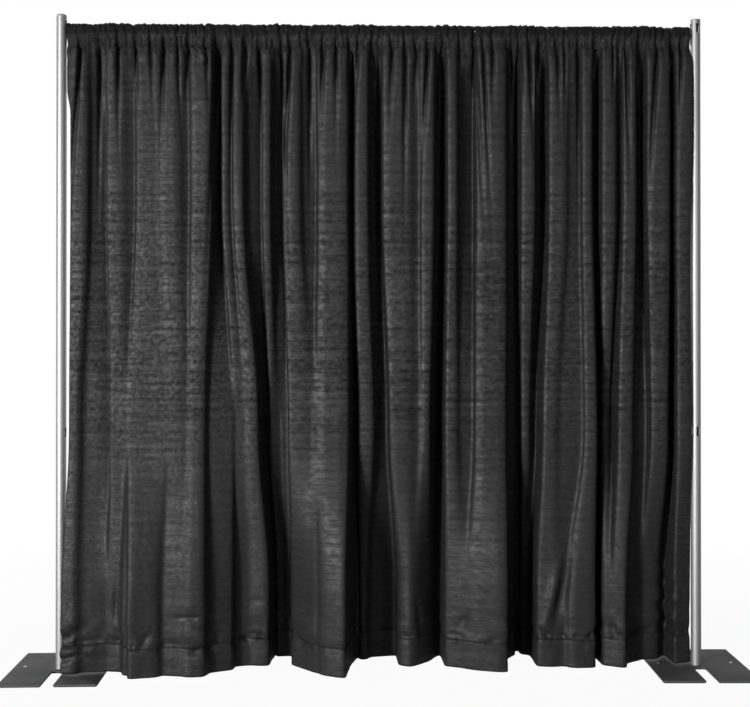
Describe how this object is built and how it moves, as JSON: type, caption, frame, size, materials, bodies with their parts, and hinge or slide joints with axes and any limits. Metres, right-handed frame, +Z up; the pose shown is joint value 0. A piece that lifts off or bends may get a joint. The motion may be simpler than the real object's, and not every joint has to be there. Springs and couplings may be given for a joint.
{
  "type": "pipe and drape backdrop",
  "caption": "Free-standing backdrop: slotted tube uprights on flat steel bases, a telescoping crossbar and gathered black cloth panels.",
  "frame": {"origin": "on the floor, midway between the two uprights", "axes": "+X right as seen from the front, +Y to the back, +Z up"},
  "size_m": [2.7524, 0.4124, 2.4589],
  "materials": {
    "plate": "dark grey powder coat",
    "mat": "plain black rubber sheet",
    "steel": "plated flat steel",
    "zinc": "zinc plated",
    "aluminium": "satin mill finish",
    "cap": "grey moulded plastic",
    "nylon": "black moulded nylon",
    "cloth": "black crepe cloth with slubs"
  },
  "bodies": {
    "left_upright": {"left_upright_tube": "aluminium", "left_upright_cap": "cap"},
    "right_upright": {"right_upright_tube": "aluminium", "right_upright_cap": "cap"},
    "crossbar_inner": {"crossbar_inner_tube": "aluminium", "crossbar_tail_plug": "nylon", "left_hook_blade": "steel", "left_hook_rivet_1": "zinc", "left_hook_rivet_2": "zinc", "left_drape_panel": "cloth", "middle_drape_panel": "cloth"},
    "crossbar_outer": {"crossbar_outer_tube": "aluminium", "crossbar_mouth_bush": "nylon", "right_hook_blade": "steel", "right_hook_rivet_1": "zinc", "right_hook_rivet_2": "zinc", "right_drape_panel": "cloth"},
    "left_base": {"left_base_plate": "plate", "left_floor_mat": "mat", "left_base_pin": "steel", "left_pin_bolt": "zinc", "left_plate_rivet_1": "zinc", "left_plate_rivet_2": "zinc"},
    "right_base": {"right_base_plate": "plate", "right_floor_mat": "mat", "right_base_pin": "steel", "right_pin_bolt": "zinc", "right_plate_rivet_1": "zinc", "right_plate_rivet_2": "zinc"}
  },
  "joints": [
    {"name": "left_base_swivel", "type": "hinge", "parent": "left_upright", "child": "left_base", "pos_m": [-1.195, 0, 0], "axis": [0, 0, 1], "continuous": true},
    {"name": "crossbar_lift", "type": "slide", "parent": "left_upright", "child": "crossbar_inner", "axis": [0, 0, 1], "range_m": [0, 0.013]},
    {"name": "crossbar_telescope", "type": "slide", "parent": "crossbar_inner", "child": "crossbar_outer", "axis": [1, 0, 0], "range_m": [-0.555, 0.658], "deforming": ["left_drape_panel", "middle_drape_panel", "right_drape_panel"]},
    {"name": "right_upright_drop", "type": "slide", "parent": "crossbar_outer", "child": "right_upright", "axis": [0, 0, -1], "range_m": [0, 0.013]},
    {"name": "right_base_swivel", "type": "hinge", "parent": "right_upright", "child": "right_base", "pos_m": [1.195, 0, 0], "axis": [0, 0, 1], "continuous": true}
  ],
  "couplings": [
    {"joint": "right_upright_drop", "follows": "crossbar_lift", "ratio": 1}
  ]
}
